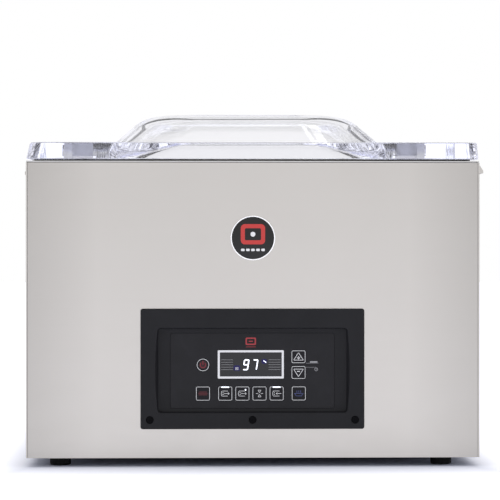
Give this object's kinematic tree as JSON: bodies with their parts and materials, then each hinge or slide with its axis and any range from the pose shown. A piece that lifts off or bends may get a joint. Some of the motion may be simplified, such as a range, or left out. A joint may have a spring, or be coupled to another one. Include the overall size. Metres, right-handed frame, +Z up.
{
  "type": "vacuum packing machine",
  "caption": "Tabletop chamber vacuum packing machine: steel casing, clear domed lid hinged at the rear, recessed keypad, seal bar in the chamber.",
  "frame": {"origin": "on the ground, at the middle of the whole object's footprint", "axes": "+X to the right seen from the front, the front faces -Y, +Z up"},
  "size_m": [0.497, 0.529, 0.3845],
  "materials": {
    "steel": "satin brushed",
    "zinc": "zinc plated",
    "bright_steel": "ground bright",
    "aluminium": "satin",
    "painted_iron": "semi-gloss dark paint",
    "brass": "plain",
    "foot_rubber": "matt",
    "gasket_rubber": "matt",
    "silicone": "matt",
    "seal_tape": "woven coated tape",
    "bezel_plastic": "fine moulded texture",
    "hinge_steel": "satin",
    "screw_black": "black oxide",
    "rocker_plastic": "polished",
    "badge": "domed resin",
    "keypad_film": "fine grain film",
    "display_lens": "smoked",
    "white_plastic": "matt",
    "circuit_board": "solder mask",
    "clear_acrylic": "clear, polished",
    "sight_glass": "clear"
  },
  "bodies": {
    "casing": {"front_panel": "steel", "left_side_panel": "steel", "right_side_panel": "steel", "rear_panel": "steel", "chamber_tub": "steel", "suction_cover": "steel", "base_tray": "zinc", "hinge_spring_left": "bright_steel", "hinge_spring_right": "bright_steel", "pump_body": "painted_iron", "pump_motor": "painted_iron", "exhaust_filter": "painted_iron", "seal_transformer": "painted_iron", "vacuum_valve": "brass", "gas_inlet": "brass", "foot_front_left": "foot_rubber", "foot_front_right": "foot_rubber", "foot_rear_left": "foot_rubber", "foot_rear_right": "foot_rubber", "vacuum_hose": "gasket_rubber", "control_bezel": "bezel_plastic", "power_inlet": "bezel_plastic", "switch_frame": "bezel_plastic", "pump_fan_cowl": "bezel_plastic", "hinge_block_left": "hinge_steel", "hinge_block_right": "hinge_steel", "bezel_screw_left": "screw_black", "bezel_screw_middle": "screw_black", "bezel_screw_right": "screw_black", "badge_disc": "badge", "keypad_overlay": "keypad_film", "display_window": "display_lens", "filler_plate": "white_plastic", "seal_cylinder_left": "white_plastic", "seal_cylinder_right": "white_plastic", "control_board": "circuit_board", "pump_sight_glass": "sight_glass"},
    "lid": {"lid_shell": "clear_acrylic", "lid_gasket": "gasket_rubber", "counter_bar_holder": "aluminium", "counter_bar_silicone": "silicone", "hinge_shaft": "bright_steel", "hinge_arm_left": "hinge_steel", "hinge_arm_right": "hinge_steel"},
    "seal_bar": {"seal_bar": "aluminium", "seal_strip": "seal_tape", "seal_piston_left": "bright_steel", "seal_piston_right": "bright_steel"},
    "pump_rotor": {"pump_rotor": "aluminium"},
    "mains_rocker": {"mains_rocker": "rocker_plastic"},
    "key_power": {"key_power": "keypad_film"},
    "key_up": {"key_up": "keypad_film"},
    "key_down": {"key_down": "keypad_film"},
    "key_stop": {"key_stop": "keypad_film"},
    "key_vacuum": {"key_vacuum": "keypad_film"},
    "key_vacuum_plus": {"key_vacuum_plus": "keypad_film"},
    "key_seal": {"key_seal": "keypad_film"},
    "key_gas": {"key_gas": "keypad_film"},
    "key_tray": {"key_tray": "keypad_film"}
  },
  "joints": [
    {"name": "lid_hinge", "type": "hinge", "parent": "casing", "child": "lid", "pos_m": [0, 0.2475, 0.337], "axis": [-1, 0, 0], "range_deg": [0, 50]},
    {"name": "seal_bar_lift", "type": "slide", "parent": "casing", "child": "seal_bar", "axis": [0, 0, 1], "range_m": [0, 0.0075]},
    {"name": "pump_spin", "type": "hinge", "parent": "casing", "child": "pump_rotor", "pos_m": [-0.155, 0, 0.095], "axis": [1, 0, 0], "continuous": true},
    {"name": "mains_rocker_tilt", "type": "hinge", "parent": "casing", "child": "mains_rocker", "pos_m": [0.1, 0.2565, 0.058], "axis": [1, 0, 0], "range_deg": [0, 20]},
    {"name": "key_power_press", "type": "slide", "parent": "casing", "child": "key_power", "axis": [0, 1, 0], "range_m": [0, 0.0005], "stiffness_N_per_m": 500, "springref_m": -0.0005},
    {"name": "key_up_press", "type": "slide", "parent": "casing", "child": "key_up", "axis": [0, 1, 0], "range_m": [0, 0.0005], "stiffness_N_per_m": 500, "springref_m": -0.0005},
    {"name": "key_down_press", "type": "slide", "parent": "casing", "child": "key_down", "axis": [0, 1, 0], "range_m": [0, 0.0005], "stiffness_N_per_m": 500, "springref_m": -0.0005},
    {"name": "key_stop_press", "type": "slide", "parent": "casing", "child": "key_stop", "axis": [0, 1, 0], "range_m": [0, 0.0005], "stiffness_N_per_m": 500, "springref_m": -0.0005},
    {"name": "key_vacuum_press", "type": "slide", "parent": "casing", "child": "key_vacuum", "axis": [0, 1, 0], "range_m": [0, 0.0005], "stiffness_N_per_m": 500, "springref_m": -0.0005},
    {"name": "key_vacuum_plus_press", "type": "slide", "parent": "casing", "child": "key_vacuum_plus", "axis": [0, 1, 0], "range_m": [0, 0.0005], "stiffness_N_per_m": 500, "springref_m": -0.0005},
    {"name": "key_seal_press", "type": "slide", "parent": "casing", "child": "key_seal", "axis": [0, 1, 0], "range_m": [0, 0.0005], "stiffness_N_per_m": 500, "springref_m": -0.0005},
    {"name": "key_gas_press", "type": "slide", "parent": "casing", "child": "key_gas", "axis": [0, 1, 0], "range_m": [0, 0.0005], "stiffness_N_per_m": 500, "springref_m": -0.0005},
    {"name": "key_tray_press", "type": "slide", "parent": "casing", "child": "key_tray", "axis": [0, 1, 0], "range_m": [0, 0.0005], "stiffness_N_per_m": 500, "springref_m": -0.0005}
  ]
}
